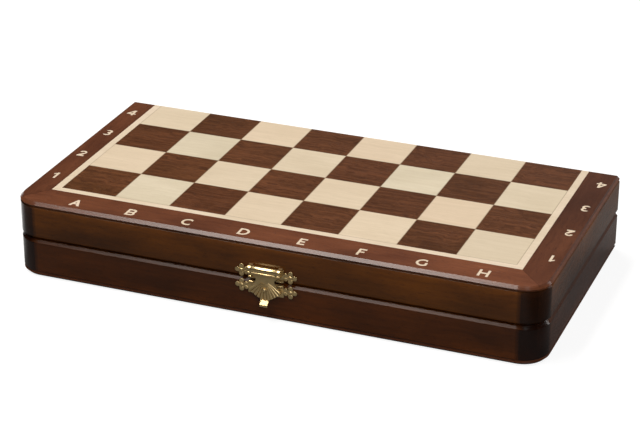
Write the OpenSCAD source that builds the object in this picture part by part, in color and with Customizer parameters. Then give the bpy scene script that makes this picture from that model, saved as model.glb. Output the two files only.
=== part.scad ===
// Folding magnetic chess set, shut: two half cases joined by hinges at the back and a clasp in front,
// with the squares on the outside and the chessmen lying in racks inside.
// Millimetres, +Z up, front towards -Y, origin in the middle of the underside.

/* [Board] */
// Side of one square
square_w = 30.25; // [29:0.25:32]
// Border beside the squares, from the outer face of the case, where both sides have the same
side_border = 19; // [17:0.5:21]
// Squares and pale line lie this far to the left of the case's middle
field_shift = 1.2; // [0:0.1:2]
// Border in front of the first rank, from the outer face of the case
front_border = 21.7; // [20.5:0.1:24]
// Depth that the saw took off the last rank at the fold
fold_trim = 2.7; // [0.5:0.1:4]
// Width of the pale line around the squares
stringing_w = 3.8; // [2:0.1:5]
// Thickness of the veneer on the playing face
veneer_t = 0.6; // [0.5:0.1:0.9]
// Joint line between neighbouring pieces of veneer
veneer_joint = 0.04; // [0.02:0.01:0.1]
// Thickness of the backing board
board_t = 1.9; // [1.7:0.1:2.4]
// Thickness of the steel sheet let into the backing board
steel_t = 0.4; // [0.3:0.1:0.8]
// Margin of the steel sheet inside the squares
steel_margin = 1.5; // [0.5:0.5:4]
// Clearance around the steel sheet in its recess
steel_fit = 0.1; // [0.05:0.05:0.3]

/* [Coordinates] */
// Height of the letters and numbers
glyph_h = 6.8; // [5:0.1:8]
// Width of their strokes
glyph_stroke = 1.25; // [0.9:0.05:1.5]
// Depth to which they are let into the veneer
glyph_t = 0.3; // [0.2:0.05:0.4]
// Letters sit this far in front of the squares
letter_offset = 13.9; // [11:0.1:14.5]
// Numbers sit this far beside the squares
number_offset = 12.2; // [10:0.1:13]
// Extra distance from one letter to the next over the square
letter_creep = 0.4; // [0:0.05:0.5]
// All coordinates lie this far to the right of the case's middle
coordinate_drift = 0.5; // [0:0.1:1]
// Numbers lie this far in front of the middle of their rank
number_drop = 2.4; // [0:0.1:3]

/* [Case] */
// Radius of the two front corners
corner_r = 13.5; // [12.5:0.5:16]
// Thickness of the rails
rail_t = 10; // [9:0.5:11]
// Chamfer along the playing face
face_chamfer = 1.5; // [1:0.1:1.6]
// Depth of the quirk between panel and rails
quirk_d = 0.6; // [0.3:0.1:1]
// Small chamfer on the rails next to the quirk
rail_arris = 0.4; // [0.2:0.1:0.8]
// Chamfer along the rims
rim_chamfer = 1.5; // [1:0.1:2]
// Gap between the two rims when the case is shut
rim_gap = 0.2; // [0.1:0.05:0.3]

/* [Tray] */
// Thickness of the racks' floor and of the felt between them
tray_floor_t = 0.8; // [0.6:0.1:1.2]
// Gap around the racks inside the rails
tray_fit = 0.2; // [0.1:0.05:0.4]
// Wall of a rack behind the bases
rack_wall_t = 2; // [1.5:0.1:3]
// Height of the racks over the axis of the royal men
rack_rise = 2.4; // [1:0.1:3]
// Room in a rack between the tallest head and the trough
head_room = 3.3; // [2:0.1:5]
// Clearance around a man in its pocket
pocket_fit = 0.2; // [0.15:0.05:0.4]
// Length of the wide part of a pocket, for the foot
foot_pocket_l = 6.5; // [6:0.1:8]
// Headroom between the widest base and the rim
base_headroom = 0.5; // [0.4:0.1:1]

/* [Chessmen] */
// Height of the kings
king_h = 44; // [42:0.5:46]
// Height of the queens
queen_h = 39; // [37:0.5:41]
// Height of the bishops
bishop_h = 33; // [31:0.5:35]
// Height of the knights
knight_h = 31; // [29:0.5:33]
// Height of the rooks
rook_h = 27; // [25:0.5:29]
// Height of the pawns
pawn_h = 23; // [22:0.5:25]
// Diameter of the kings' and queens' bases
royal_base_d = 16.6; // [16:0.1:17.5]
// Diameter of the bishops', knights' and rooks' bases
officer_base_d = 14.6; // [14:0.1:15.5]
// Diameter of the pawns' bases
pawn_base_d = 12.6; // [12:0.1:13.4]
// Thickness of the foot of every man
foot_t = 2.4; // [2.2:0.1:3]
// Diameter of the magnets
magnet_d = 7; // [6:0.5:8]
// Thickness of the magnets
magnet_t = 2; // [1.5:0.1:2.2]
// Clearance around a magnet in its bore
magnet_fit = 0.05; // [0.02:0.01:0.1]
// Thickness of the felt under each base
base_felt_t = 0.5; // [0.3:0.1:0.8]

/* [Hinges] */
// Distance from the side of the case to the middle of a hinge
hinge_inset = 45; // [35:1:80]
// Length of a hinge
hinge_l = 26; // [22:1:32]
// Depth of a leaf in the rim
leaf_w = 8; // [7:0.5:8.5]
// Thickness of a leaf
leaf_t = 1; // [0.8:0.1:1.2]
// Radius of the knuckles
knuckle_r = 1.6; // [1.4:0.1:2]
// Radius of the hinge pins
hinge_pin_r = 0.75; // [0.6:0.05:0.9]
// Clearance of the pin in the leaf that it is fixed in
pin_seat = 0.01; // [0.01:0.01:0.02]
// Clearance of the pin in the leaf that turns
pin_play = 0.05; // [0.03:0.01:0.08]
// Gap between neighbouring knuckles
knuckle_gap = 0.15; // [0.1:0.05:0.3]
// Gap between the knuckles and what they turn in
knuckle_clearance = 0.3; // [0.2:0.05:0.5]
// Gap between the two back faces when the board lies open
fold_gap = 0.3; // [0.2:0.05:0.4]
// Distance between the two screws of a leaf
screw_pitch = 16; // [12:0.5:18]
// Radius of the screw shanks
screw_r = 0.9; // [0.7:0.05:1]
// Radius of the screw heads
screw_head_r = 1.8; // [1.6:0.1:2]
// Length of the screws
screw_l = 8; // [6:0.5:10]

/* [Clasp] */
// Thickness of the clasp's plates and of the hasp
clasp_t = 0.6; // [0.5:0.1:0.9]
// Half the width of the plates' middle field
plate_half_w = 9.3; // [9:0.1:10]
// Distance from the clasp's middle to the middle of a finial
finial_x = 12.9; // [12.5:0.1:13.5]
// Height of the plates
plate_h = 6.6; // [6.2:0.1:7]
// Lower edge of the upper plate over the seam
upper_plate_rise = 1; // [0.5:0.1:1.2]
// Upper edge of the lower plate under the seam
lower_plate_drop = 0.5; // [0.3:0.1:1.2]
// Radius of the clasp's barrel
barrel_r = 1.9; // [1.7:0.1:2]
// Half the length of the hasp's own part of the barrel
barrel_half_l = 6.6; // [6.2:0.1:7]
// Half the length of the whole barrel, with the ears of the upper plate
ears_half_l = 8.7; // [8.2:0.1:9]
// Height of the barrel's axis over the seam
barrel_rise = 6.5; // [6.2:0.1:7]
// Radius of the clasp's pin
clasp_pin_r = 0.8; // [0.6:0.05:0.9]
// Gap between the hasp and the lower plate
hasp_gap = 0.6; // [0.5:0.05:0.8]
// Distance from the seam down to the foot of the shell
hasp_drop = 9.2; // [8.5:0.1:10]
// Half the width of the shell where it is widest
shell_half_w = 8.2; // [7.5:0.1:8.6]
// Half the width of the hasp's waist
waist_half_w = 4.9; // [4.4:0.1:5.4]
// Radius of the shell's ribs at the foot of the shell
rib_r = 0.85; // [0.6:0.05:1]
// Length of the finger tab
tab_l = 3.4; // [2.5:0.1:4.5]
// Slope of the finger tab below level
tab_slope = 38; // [5:1:45]
// Half the width of the finger tab
tab_half_w = 2; // [1.5:0.1:2.4]
// Height of the lip that the tab ends in
lip_h = 1.1; // [0.8:0.1:1.5]
// Height of the catch on the lower plate, less than the gap to the hasp
catch_h = 0.35; // [0.2:0.05:0.4]
// Radius of the nail heads
nail_head_r = 1.1; // [0.9:0.1:1.3]
// Radius of the nail shanks
nail_r = 0.6; // [0.5:0.05:0.7]
// Length of the nails in the wood
nail_l = 6; // [4:0.5:8]
// Clearance of screws and nails in their holes
fastener_fit = 0.05; // [0.02:0.01:0.1]

/* [Hidden] */
$fn = 64;

files = 8;
ranks = 4;
// Tools reach this far past what they cut
over = 1;

// Sizes of the closed case
case_w = files * square_w + 2 * side_border;
case_d = front_border + ranks * square_w - fold_trim;
panel_t = veneer_t + board_t;
tray_z = panel_t + tray_floor_t;
half_h = tray_z + pocket_fit + royal_base_d + base_headroom;
case_h = 2 * half_h + rim_gap;
seam_z = case_h / 2;

// Squares in plan
field_half_w = files * square_w / 2;
field_front = front_border - case_d / 2;
frame_half_w = field_half_w + stringing_w;
frame_front = field_front - stringing_w;

// Inside of the rails in plan
inner_half_w = case_w / 2 - rail_t;
inner_half_d = case_d / 2 - rail_t;
column_w = 2 * inner_half_w / files;

// Racks
rack_h = tray_floor_t + pocket_fit + royal_base_d / 2 + rack_rise;
officer_rack_d = rack_wall_t + base_felt_t + king_h + head_room;
pawn_rack_d = rack_wall_t + base_felt_t + pawn_h + head_room;
trough_back = inner_half_d - officer_rack_d;
trough_front = pawn_rack_d - inner_half_d;
officer_base_y = inner_half_d - tray_fit - rack_wall_t - base_felt_t;
pawn_base_y = -officer_base_y;

// The men of one side, from left to right, and their sizes
officers = ["rook", "knight", "bishop", "queen", "king", "bishop", "knight", "rook"];
function man_h(kind) =
    kind == "king" ? king_h : kind == "queen" ? queen_h : kind == "bishop" ? bishop_h
    : kind == "knight" ? knight_h : kind == "rook" ? rook_h : pawn_h;
function base_r(kind) =
    kind == "king" || kind == "queen" ? royal_base_d / 2
    : kind == "pawn" ? pawn_base_d / 2 : officer_base_d / 2;
// Widest radius above the foot, as a part of the base
function head_r(kind) =
    base_r(kind) * (kind == "king" || kind == "queen" ? 0.68 : kind == "bishop" ? 0.6
    : kind == "knight" ? 0.9 : kind == "rook" ? 0.72 : 0.62);
function axis_z(kind) = tray_z + pocket_fit + base_r(kind);
function column_x(i) = (i - (files - 1) / 2) * column_w;

// Hinges
hinge_x = case_w / 2 - hinge_inset;
hinge_y = case_d / 2 + fold_gap / 2;
knuckle_l = (hinge_l - 2 * knuckle_gap) / 3;

// Clasp, with depths measured out from the front face
front_y = -case_d / 2;
barrel_out = barrel_r + knuckle_clearance;
barrel_z = seam_z + barrel_rise;
hasp_back = clasp_t + hasp_gap;
upper_plate_z = seam_z + upper_plate_rise;
lower_plate_z = seam_z - lower_plate_drop - plate_h;
finial_r = plate_h / 6;

// Turns what is drawn for the lower half over into the upper half
module in_upper() {
    translate([0, 0, case_h]) rotate([0, 180, 0]) children();
}

// Moves what is drawn around the squares' middle to its place: half is 1 below and -1 in the upper half,
// so that the squares of both halves meet when the board lies open
module on_field(half) {
    translate([-half * field_shift, 0, 0]) children();
}

// Plan of the case, drawn in from the outer faces by inset and from the back face by back_inset
module case_plan(inset, back_inset) {
    half_w = case_w / 2 - inset;
    turn_y = corner_r - case_d / 2;
    translate([-half_w, turn_y]) square([2 * half_w, case_d / 2 - back_inset - turn_y]);
    translate([corner_r - case_w / 2, inset - case_d / 2])
        square([case_w - 2 * corner_r, corner_r]);
    for (side = [-1, 1])
        translate([side * (case_w / 2 - corner_r), turn_y]) circle(corner_r - inset);
}

// The next four sweep a profile along the edges: x is in from the outer face, y is height
module front_run() {
    translate([corner_r - case_w / 2, -case_d / 2, 0])
        rotate([90, 0, 90]) linear_extrude(case_w - 2 * corner_r) children();
}

module right_run(past_back) {
    translate([case_w / 2, corner_r - case_d / 2, 0])
        rotate([90, 0, 180]) linear_extrude(case_d - corner_r + past_back) children();
}

module right_turn(start, sweep) {
    translate([case_w / 2 - corner_r, corner_r - case_d / 2, 0]) rotate([0, 0, start])
        rotate_extrude(angle = sweep) translate([corner_r, 0]) mirror([1, 0]) children();
}

module edge_run() {
    front_run() children();
    for (flip = [0, 1]) mirror([flip, 0, 0]) {
        right_run(over) children();
        right_turn(-90, 90) children();
    }
}

// What the chamfer and the quirk take off the panel
module panel_edge_cut() {
    edge_run() polygon([
        [-over, -over], [face_chamfer + over, -over], [0, face_chamfer],
        [quirk_d, face_chamfer], [quirk_d, panel_t + over], [-over, panel_t + over]
    ]);
}

// Section of the front and side rails
module rail_section() {
    polygon([
        [rail_arris, panel_t], [rail_t, panel_t], [rail_t, half_h],
        [rim_chamfer, half_h], [0, half_h - rim_chamfer], [0, panel_t + rail_arris]
    ]);
}

module front_rail() {
    front_run() rail_section();
    for (flip = [0, 1]) mirror([flip, 0, 0]) right_turn(-90, 45) rail_section();
}

module right_rail() {
    right_run(0) rail_section();
    right_turn(0, -45) rail_section();
}

// Rail between the side rails, with the beds of the hinges
module back_rail() {
    difference() {
        translate([-inner_half_w, inner_half_d, panel_t])
            cube([2 * inner_half_w, rail_t, half_h - panel_t]);
        for (side = [-1, 1]) translate([side * hinge_x, 0, 0]) {
            translate([-hinge_l / 2 - fastener_fit, case_d / 2 - leaf_w - fastener_fit, half_h - leaf_t])
                cube([hinge_l + 2 * fastener_fit, leaf_w + over, leaf_t + over]);
            translate([-hinge_l / 2 - knuckle_gap, hinge_y, seam_z]) rotate([0, 90, 0])
                cylinder(r = knuckle_r + knuckle_clearance, h = hinge_l + 2 * knuckle_gap);
            at_screws() translate([0, 0, -screw_l - fastener_fit])
                cylinder(r = screw_r + fastener_fit, h = screw_l + over);
        }
    }
}

module backing_board(half) {
    difference() {
        translate([0, 0, veneer_t]) linear_extrude(board_t) case_plan(0, 0);
        panel_edge_cut();
        on_field(half) steel_body(steel_fit, over);
    }
}

// The steel sheet, or with a fit and extra depth the recess for it
module steel_body(fit, below) {
    half_w = field_half_w - steel_margin + fit;
    front = field_front + steel_margin - fit;
    back = case_d / 2 - steel_margin + fit;
    translate([-half_w, front, veneer_t - below]) cube([2 * half_w, back - front, steel_t + below]);
}

// Squares of one colour: remainder 0 gives the dark ones, 1 the light ones
module squares(remainder) {
    for (file = [0 : files - 1], rank = [0 : ranks - 1]) if ((file + rank) % 2 == remainder) {
        depth = rank == ranks - 1 ? square_w - fold_trim : square_w - veneer_joint;
        translate([
            field_half_w - (file + 1) * square_w + veneer_joint / 2,
            field_front + rank * square_w + veneer_joint / 2,
            0
        ]) cube([square_w - veneer_joint, depth - veneer_joint / 2, veneer_t]);
    }
}

// Strips of a mitred frame between two rectangles that are open at the back, the inner one off the middle
module mitred_strips(inner_w, inner_front, outer_w, outer_front, shift) {
    inside_w = inner_w + veneer_joint / 2;
    inside_front = inner_front - veneer_joint / 2;
    polygon([
        [-outer_w, outer_front], [outer_w, outer_front],
        [shift + inside_w, inside_front], [shift - inside_w, inside_front]
    ]);
    for (flip = [0, 1]) let (inside_x = inside_w + (1 - 2 * flip) * shift) mirror([flip, 0]) polygon([
        [outer_w, outer_front + veneer_joint], [outer_w, case_d / 2],
        [inside_x, case_d / 2], [inside_x, inside_front + veneer_joint]
    ]);
}

module stringing() {
    linear_extrude(veneer_t) mitred_strips(
        field_half_w, field_front, frame_half_w - veneer_joint / 2, frame_front + veneer_joint / 2, 0);
}

module border_veneer(letters, numbers, half) {
    difference() {
        linear_extrude(veneer_t) intersection() {
            case_plan(0, 0);
            mitred_strips(frame_half_w, frame_front, case_w / 2, front_y, -half * field_shift);
        }
        panel_edge_cut();
        translate([0, 0, -over]) linear_extrude(glyph_t + over) coordinate_plan(letters, numbers);
    }
}

// The letters along the front and the numbers on both sides, seen from outside the panel
module coordinate_plan(letters, numbers) {
    mirror([1, 0]) translate([coordinate_drift, 0]) {
        for (file = [0 : files - 1])
            translate([(file - (files - 1) / 2) * (square_w + letter_creep), field_front - letter_offset])
                glyph(letters[file]);
        for (rank = [0 : ranks - 1], side = [-1, 1])
            translate([
                side * (field_half_w + number_offset),
                field_front + (rank + 0.5) * square_w - number_drop
            ]) rotate(side < 0 ? 0 : 180) glyph(numbers[rank]);
    }
}

// One bowl of a letter: a bar from the left that ends in a half circle
module bowl(left, right, middle, r) {
    difference() {
        union() {
            translate([left, middle - r]) square([right - r - left, 2 * r]);
            translate([right - r, middle]) half_disc(r);
        }
        translate([left + glyph_stroke, middle - r + glyph_stroke])
            square([right - r - left - glyph_stroke, 2 * (r - glyph_stroke)]);
        translate([right - r, middle]) half_disc(r - glyph_stroke);
    }
}

module ring(r) {
    difference() {
        circle(r);
        circle(r - glyph_stroke);
    }
}

module bar(x, y, w, h) {
    translate([x, y]) square([w, h]);
}

// Letters A to H and numbers 1 to 8 in a plain bold face, each centred on its place
module glyph(sign) {
    h = glyph_h;
    t = glyph_stroke;
    top = h / 2;
    bowl_r = (h + t) / 4;
    if (sign == "A") letter_a(h, t);
    if (sign == "B") for (s = [-1, 1]) bowl(-0.36 * h, 0.36 * h, s * (top - bowl_r), bowl_r);
    if (sign == "C") translate([0.08 * h, 0]) difference() {
        ring(top);
        bar(0.26 * h, -top, h, h);
    }
    if (sign == "D") bowl(-0.42 * h, 0.42 * h, 0, top);
    if (sign == "E" || sign == "F") {
        bar(-0.29 * h, -top, t, h);
        bar(-0.29 * h, top - t, 0.58 * h, t);
        bar(-0.29 * h, -t / 2, 0.5 * h, t);
        if (sign == "E") bar(-0.29 * h, -top, 0.58 * h, t);
    }
    if (sign == "G") translate([0.06 * h, 0]) {
        difference() {
            ring(top);
            bar(0.26 * h, 0, h, h);
            bar(0.36 * h, -top, h, h);
        }
        bar(0.36 * h - t, -0.36 * h, t, 0.38 * h);
    }
    if (sign == "H") {
        for (s = [-1, 1]) bar(s * (0.4 * h - t / 2) - t / 2, -top, t, h);
        bar(-0.4 * h, -t / 2, 0.8 * h, t);
    }
    if (sign == "1") {
        bar(0, -top, t, h);
        polygon([[t / 2, top], [-0.2 * h, 0.3 * h], [-0.2 * h, 0.3 * h - t], [t / 2, top - t]]);
    }
    if (sign == "2") number_two(h, t);
    if (sign == "3") for (flip = [0, 1]) mirror([0, flip]) translate([0, top - bowl_r]) difference() {
        ring(bowl_r + 0.04 * t);
        bar(-1.04 * h, -h, h, h + 0.4 * bowl_r);
    }
    if (sign == "4") number_four(h, t);
    if (sign == "5") {
        bar(-0.24 * h, top - t, 0.5 * h, t);
        bar(-0.24 * h, -0.02 * h, t, 0.52 * h);
        translate([-0.02 * h, 0.3 * h - top]) difference() {
            ring(0.3 * h);
            bar(-1.14 * h, -0.14 * h, h, h);
        }
    }
    if (sign == "6") translate([0, 0.3 * h - top]) {
        ring(0.3 * h);
        difference() {
            translate([0.36 * h, 0.02 * h]) ring(0.64 * h);
            bar(0.12 * h, -h, 2 * h, 2 * h);
            bar(-h, -2 * h, 2 * h, 2 * h);
        }
    }
    if (sign == "7") polygon([
        [-0.3 * h, top], [0.3 * h, top], [0.3 * h, top - t], [0.5 * t, -top],
        [-0.8 * t, -top], [0.3 * h - 1.4 * t, top - t], [-0.3 * h, top - t]
    ]);
    if (sign == "8") for (s = [-1, 1]) translate([0, s * (top - bowl_r)]) ring(bowl_r + 0.04 * t);
}

module letter_a(h, t) {
    half_w = 0.43 * h;
    apex = 0.4 * t;
    slope = h / (half_w - apex);
    leg = 1.15 * t;
    difference() {
        polygon([[-half_w, -h / 2], [-apex, h / 2], [apex, h / 2], [half_w, -h / 2]]);
        difference() {
            polygon([
                [-half_w + leg, -h / 2], [0, (half_w - leg) * slope - h / 2], [half_w - leg, -h / 2]
            ]);
            bar(-half_w, -0.26 * h, 2 * half_w, 0.8 * t);
        }
    }
}

module number_four(h, t) {
    stem = 0.02 * h;
    foot = -0.3 * h;
    difference() {
        polygon([
            [stem, h / 2], [stem + t, h / 2], [stem + t, foot + t], [0.36 * h, foot + t],
            [0.36 * h, foot], [stem + t, foot], [stem + t, -h / 2], [stem, -h / 2],
            [stem, foot], [-0.38 * h, foot], [-0.38 * h, foot + 0.9 * t]
        ]);
        polygon([[stem, foot + t], [stem, h / 2 - 1.7 * t], [-0.38 * h + 1.2 * t, foot + t]]);
    }
}

module number_two(h, t) {
    r = 0.29 * h;
    bar(-0.3 * h, -h / 2, 0.6 * h, t);
    translate([0, h / 2 - r]) difference() {
        ring(r);
        bar(-h, -h, 1.2 * h, h);
        bar(-h, -h - 0.3 * r, 2 * h, h);
    }
    polygon([
        [r, h / 2 - 1.3 * r], [r - 1.1 * t, h / 2 - 1.3 * r], [-0.3 * h, t - h / 2],
        [t - 0.1 * h, t - h / 2]
    ]);
}

// Rack block between two depths, less the pockets
module rack(front, back, kinds, base_y, turn) {
    difference() {
        translate([0, 0, panel_t]) linear_extrude(rack_h) intersection() {
            case_plan(rail_t + tray_fit, rail_t + tray_fit);
            translate([-case_w / 2, front]) square([case_w, back - front]);
        }
        for (i = [0 : files - 1])
            translate([column_x(i), base_y, axis_z(kinds[i])]) rotate([0, 0, turn]) pocket(kinds[i]);
    }
}

// Hollow for a man that lies with its base at the origin and its head towards -Y
module pocket(kind) {
    foot_r = base_r(kind) + pocket_fit;
    body_r = head_r(kind) + pocket_fit;
    foot_l = foot_pocket_l + base_felt_t;
    body_l = king_h + head_room + over;
    translate([0, base_felt_t, 0]) {
        rotate([90, 0, 0]) cylinder(r = foot_r, h = foot_l);
        translate([-foot_r, -foot_l, 0]) cube([2 * foot_r, foot_l, rack_h]);
        rotate([90, 0, 0]) cylinder(r = body_r, h = body_l);
        translate([-body_r, -body_l, 0]) cube([2 * body_r, body_l, rack_h]);
    }
}

module officer_rack() {
    rack(trough_back, case_d / 2, officers, officer_base_y, 0);
}

module pawn_rack() {
    rack(-case_d / 2, trough_front, [for (i = [0 : files - 1]) "pawn"], pawn_base_y, 180);
}

module felt_lining() {
    half_w = inner_half_w - tray_fit;
    translate([-half_w, trough_front + tray_fit, panel_t])
        cube([2 * half_w, trough_back - trough_front - 2 * tray_fit, tray_floor_t]);
}

// Places what is drawn upright at the men's lying places in the racks
module lay_officers(kind) {
    for (i = [0 : files - 1]) if (officers[i] == kind)
        translate([column_x(i), officer_base_y, axis_z(kind)]) rotate([90, 0, 0]) children();
}

module lay_pawns() {
    for (i = [0 : files - 1])
        translate([column_x(i), pawn_base_y, axis_z("pawn")]) rotate([-90, 0, 0]) children();
}

// Disc with a round edge, as a half section
module roll(r, z, t) {
    translate([0, z]) square([r - t / 2, t]);
    translate([r - t / 2, z + t / 2]) circle(d = t);
}

module half_disc(r) {
    intersection() {
        circle(r);
        translate([0, -r]) square([r, 2 * r]);
    }
}

// Foot, ankle, hollow stem line and collar that the turned men share, as a half section
module stem_section(r, neck_r, collar_z) {
    steps = 8;
    ankle_z = foot_t + 1.8;
    roll(r, 0, foot_t);
    roll(0.84 * r, foot_t - 0.1, 2);
    polygon(concat(
        [[0, foot_t]],
        [for (i = [0 : steps]) let (u = i / steps)
            [neck_r + (0.74 * r - neck_r) * pow(1 - u, 2.2), ankle_z + (collar_z - ankle_z) * u]],
        [[0, collar_z]]
    ));
    roll(neck_r + 1.7, collar_z - 0.9, 1);
    roll(neck_r + 0.9, collar_z, 0.9);
}

module magnet_bore() {
    translate([0, 0, -over]) cylinder(d = magnet_d + 2 * magnet_fit, h = magnet_t + magnet_fit + over);
}

module pawn() {
    r = base_r("pawn");
    ball_r = head_r("pawn");
    ball_z = pawn_h - ball_r;
    difference() {
        rotate_extrude() {
            stem_section(r, 0.33 * r, ball_z - 0.9 * ball_r);
            translate([0, ball_z]) half_disc(ball_r);
        }
        magnet_bore();
    }
}

module bishop() {
    r = base_r("bishop");
    head = head_r("bishop");
    bead_r = 1.1;
    arch_r = 2.2 * head;
    arch_h = sqrt(arch_r * arch_r - pow(arch_r - head, 2));
    head_z = bishop_h - 1.6 * bead_r - arch_h;
    difference() {
        rotate_extrude() {
            stem_section(r, 0.32 * r, head_z - 0.62 * head);
            translate([0, head_z]) intersection() {
                translate([head - arch_r, 0]) circle(arch_r);
                translate([0, -0.62 * head]) square([head, 2 * arch_h]);
            }
            translate([0, bishop_h - bead_r]) half_disc(bead_r);
        }
        magnet_bore();
        translate([0.2 * head, 0, head_z + 0.35 * head]) rotate([0, 35, 0])
            translate([-0.35, -head, 0]) cube([0.7, 2 * head, 2 * head]);
    }
}

module rook() {
    r = base_r("rook");
    tower = head_r("rook");
    tower_h = 5.2;
    tower_z = rook_h - tower_h;
    difference() {
        rotate_extrude() {
            stem_section(r, 0.5 * r, tower_z - 0.9);
            polygon([
                [0, tower_z - 0.2], [0.78 * tower, tower_z - 0.2], [tower, tower_z + 1.4],
                [tower, rook_h], [0, rook_h]
            ]);
        }
        magnet_bore();
        translate([0, 0, rook_h - 1.7]) cylinder(r = 0.62 * tower, h = 1.7 + over);
        for (turn = [0, 60, 120]) rotate([0, 0, turn])
            translate([-0.7, -2 * tower, rook_h - 1.6]) cube([1.4, 4 * tower, 1.6 + over]);
    }
}

// Cup that the crown of a king or queen stands on, as a half section
module crown_cup(cup_r, neck_r, z, h) {
    polygon([[0, z], [neck_r, z], [0.72 * cup_r, z + 0.55 * h], [cup_r - 0.3, z + h], [0, z + h]]);
    roll(cup_r, z + h - 0.3, 1.1);
}

module queen() {
    r = base_r("queen");
    cup_r = head_r("queen");
    ball_r = 1.5;
    crown_h = 2.4;
    cup_h = 6.4;
    rim_z = queen_h - 2 * ball_r - crown_h;
    cup_z = rim_z - cup_h;
    points = 9;
    difference() {
        rotate_extrude() {
            stem_section(r, 0.36 * r, cup_z - 0.6);
            crown_cup(cup_r, 0.36 * r, cup_z, cup_h);
            polygon([
                [0, rim_z], [0.7 * cup_r, rim_z], [0.92 * cup_r, rim_z + crown_h],
                [0.55 * cup_r, rim_z + crown_h], [0, queen_h - 2 * ball_r + 0.6]
            ]);
            translate([0, queen_h - ball_r]) half_disc(ball_r);
        }
        magnet_bore();
        for (i = [0 : points - 1]) rotate([0, 0, i * 360 / points])
            translate([0.5 * cup_r, 0, rim_z + crown_h + 0.2]) rotate([0, 90, 0])
                cylinder(r = 1.05, h = cup_r);
    }
}

module king() {
    r = base_r("king");
    cup_r = head_r("king");
    arm_t = 1.5;
    cross_h = 5.4;
    cross_w = 4.6;
    dome_r = 0.86 * cup_r;
    cup_h = 7.2;
    rim_z = king_h - cross_h - 0.62 * dome_r;
    cup_z = rim_z - cup_h;
    difference() {
        rotate_extrude() {
            stem_section(r, 0.38 * r, cup_z - 0.6);
            crown_cup(cup_r, 0.38 * r, cup_z, cup_h);
            intersection() {
                translate([0, rim_z - 0.3 * dome_r]) half_disc(dome_r);
                translate([0, rim_z - 0.1]) square(dome_r);
            }
        }
        magnet_bore();
    }
    translate([-arm_t / 2, -arm_t / 2, rim_z]) cube([arm_t, arm_t, king_h - rim_z]);
    translate([-cross_w / 2, -arm_t / 2, king_h - 0.62 * cross_h]) cube([cross_w, arm_t, arm_t]);
}

// Sizes are for a knight 31 high whose head reaches 6.5 out, and are scaled from there
module knight() {
    r = base_r("knight");
    reach = head_r("knight") / 6.5;
    rise = knight_h / 31;
    side_view = [
        [-4.8, 4], [-5.3, 8], [-5.5, 12], [-5.2, 16], [-4.5, 19.8], [-3.4, 23.2], [-2, 26],
        [-1.1, 27.6], [-0.9, 29.4], [-0.2, 31], [0.9, 29.4], [1.4, 28], [2.6, 27], [3.6, 25],
        [4.8, 22.6], [6, 20.4], [6.4, 19], [6, 17.6], [5, 17.2], [4.4, 18.3], [4.1, 17.1], [3, 16.6],
        [2, 17.6], [0.8, 18.4], [0, 17.6], [0.2, 15.8], [1.4, 13.2], [2.9, 10.4], [4.2, 7.6], [4.6, 4]
    ];
    half_front_view = [
        [0, 4], [4.4, 4], [3.5, 8], [2.8, 12], [2.6, 16], [2.8, 20], [2.3, 25], [1.8, 31], [0, 31]
    ];
    half_top_view = [[-7, 0], [-7, 1.2], [-3, 4.6], [1.5, 4.6], [3, 2.6], [6.5, 1.6], [6.5, 0]];
    mane_view = [
        [-3.4, 6.5], [-5.8, 8.2], [-5.6, 10.6], [-6.2, 11.6], [-5.6, 13.9], [-6.1, 15], [-5.2, 17.2],
        [-5.5, 18.4], [-4.4, 20.4], [-4.5, 21.7], [-3.3, 23.6], [-3.1, 24.9], [-1.9, 26.5],
        [-1.3, 28], [0.4, 27.6], [-1.6, 22], [-3, 14]
    ];
    difference() {
        union() {
            rotate_extrude() {
                roll(r, 0, foot_t);
                roll(0.84 * r, foot_t - 0.1, 2);
                polygon([[0, foot_t], [0.78 * r, foot_t + 1.8], [0.66 * r, foot_t + 3.4], [0, foot_t + 3.4]]);
            }
            intersection() {
                knight_side(side_view, reach, rise, 4 * r);
                rotate([90, 0, 90]) linear_extrude(4 * r, center = true) for (flip = [0, 1])
                    mirror([flip, 0]) polygon([for (p = half_front_view) [p[0] * reach, p[1] * rise]]);
                linear_extrude(knight_h) for (flip = [0, 1])
                    mirror([0, flip]) polygon([for (p = half_top_view) p * reach]);
            }
            knight_side(mane_view, reach, rise, 1.6 * reach);
            // Cheeks and eyes
            translate([1.4 * reach, 0, 20.8 * rise]) rotate([90, 0, 0])
                cylinder(r = 2.2 * reach, h = 6.2 * reach, center = true);
            translate([2.4 * reach, 0, 24.6 * rise]) rotate([90, 0, 0])
                cylinder(r = 0.6 * reach, h = 5.2 * reach, center = true);
        }
        magnet_bore();
        // Gap between the ears
        translate([-4 * reach, -0.6, 28 * rise]) cube([8 * reach, 1.2, 4 * rise]);
    }
}

module knight_side(view, reach, rise, t) {
    rotate([90, 0, 0]) linear_extrude(t, center = true) polygon([for (p = view) [p[0] * reach, p[1] * rise]]);
}

module man_magnet() {
    cylinder(d = magnet_d, h = magnet_t);
}

module man_felt(kind) {
    translate([0, 0, -base_felt_t]) cylinder(r = base_r(kind) - foot_t / 2, h = base_felt_t);
}

module all_felts() {
    for (kind = ["rook", "knight", "bishop", "queen", "king"]) lay_officers(kind) man_felt(kind);
    lay_pawns() man_felt("pawn");
}

module all_magnets() {
    for (kind = ["rook", "knight", "bishop", "queen", "king"]) lay_officers(kind) man_magnet();
    lay_pawns() man_magnet();
}

// Both screw places of a leaf, at the level of the rim
module at_screws() {
    for (side = [-1, 1])
        translate([side * screw_pitch / 2, case_d / 2 - leaf_w / 2 - knuckle_r / 2, half_h]) children();
}

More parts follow.
